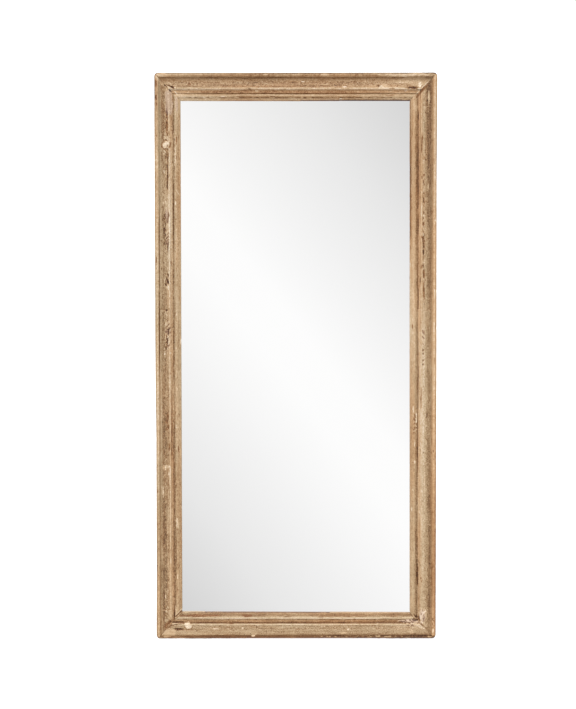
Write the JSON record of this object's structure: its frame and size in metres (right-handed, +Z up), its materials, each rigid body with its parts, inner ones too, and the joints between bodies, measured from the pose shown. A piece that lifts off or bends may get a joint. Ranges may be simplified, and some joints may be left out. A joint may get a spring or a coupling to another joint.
{
  "type": "full-length floor mirror",
  "caption": "Free-standing full-length floor mirror: a moulded, mitred frame of aged wood round plain glass, leaning back on a folding easel stand hinged to the stiles.",
  "frame": {"origin": "on the floor, under the middle of the whole mirror's bounding box", "axes": "+Z up; the glass faces -Y and the easel stand is on the +Y side; +X is to the right of a person who looks into the mirror"},
  "size_m": [0.914, 0.458, 1.8257],
  "materials": {
    "aged_frame_wood": "matte",
    "stand_wood": "matte",
    "spline_wood": "matte",
    "silvered_glass": "polished",
    "liner_cardboard": "matte",
    "backing_fibreboard": "matte",
    "aged_steel_plate": "satin",
    "plated_steel": "satin",
    "zinc_fasteners": "satin",
    "brass_screws": "satin",
    "black_rubber": "matte",
    "clear_silicone": "satin"
  },
  "bodies": {
    "frame": {"backing_board": "backing_fibreboard", "backing_clip_screws": "brass_screws", "backing_clips": "plated_steel", "cardboard_liner": "liner_cardboard", "corner_brace_bottom_left": "aged_steel_plate", "corner_brace_bottom_right": "aged_steel_plate", "corner_brace_screws": "brass_screws", "corner_brace_top_left": "aged_steel_plate", "corner_brace_top_right": "aged_steel_plate", "frame_bottom_rail": "aged_frame_wood", "frame_left_stile": "aged_frame_wood", "frame_right_stile": "aged_frame_wood", "frame_top_rail": "aged_frame_wood", "glass_edge_spacers": "black_rubber", "glass_setting_blocks": "black_rubber", "hanger_screws": "brass_screws", "left_frame_foot": "clear_silicone", "left_hanger_strap": "plated_steel", "left_pivot_bolt": "zinc_fasteners", "left_pivot_bracket": "aged_steel_plate", "mirror_glass": "silvered_glass", "mitre_splines": "spline_wood", "pivot_bracket_screws": "brass_screws", "pivot_head_washers": "zinc_fasteners", "pivot_lock_nuts": "zinc_fasteners", "pivot_spacer_washers": "zinc_fasteners", "right_frame_foot": "clear_silicone", "right_hanger_strap": "plated_steel", "right_pivot_bolt": "zinc_fasteners", "right_pivot_bracket": "aged_steel_plate"},
    "stand": {"left_leg": "stand_wood", "left_leg_foot_pad": "black_rubber", "left_stop_bolt": "zinc_fasteners", "right_leg": "stand_wood", "right_leg_foot_pad": "black_rubber", "right_stop_bolt": "zinc_fasteners", "stand_bottom_rail": "stand_wood", "stand_bumpers": "black_rubber", "stand_middle_rail": "stand_wood", "stand_top_rail": "stand_wood", "stop_bolt_washers": "zinc_fasteners", "stop_lock_nuts": "zinc_fasteners"},
    "left_ring": {"left_hanger_ring": "plated_steel"},
    "right_ring": {"right_hanger_ring": "plated_steel"}
  },
  "joints": [
    {"name": "stand_fold", "type": "hinge", "parent": "frame", "child": "stand", "pos_m": [0, 0.03105, 1.22329], "axis": [1, 0, 0], "range_deg": [-17.5, 0]},
    {"name": "left_ring_swing", "type": "hinge", "parent": "frame", "child": "left_ring", "pos_m": [-0.424, 0.06274, 1.54226], "axis": [1, 0, 0], "range_deg": [-6, 168]},
    {"name": "right_ring_swing", "type": "hinge", "parent": "frame", "child": "right_ring", "pos_m": [0.424, 0.06274, 1.54226], "axis": [1, 0, 0], "range_deg": [-6, 168]}
  ]
}
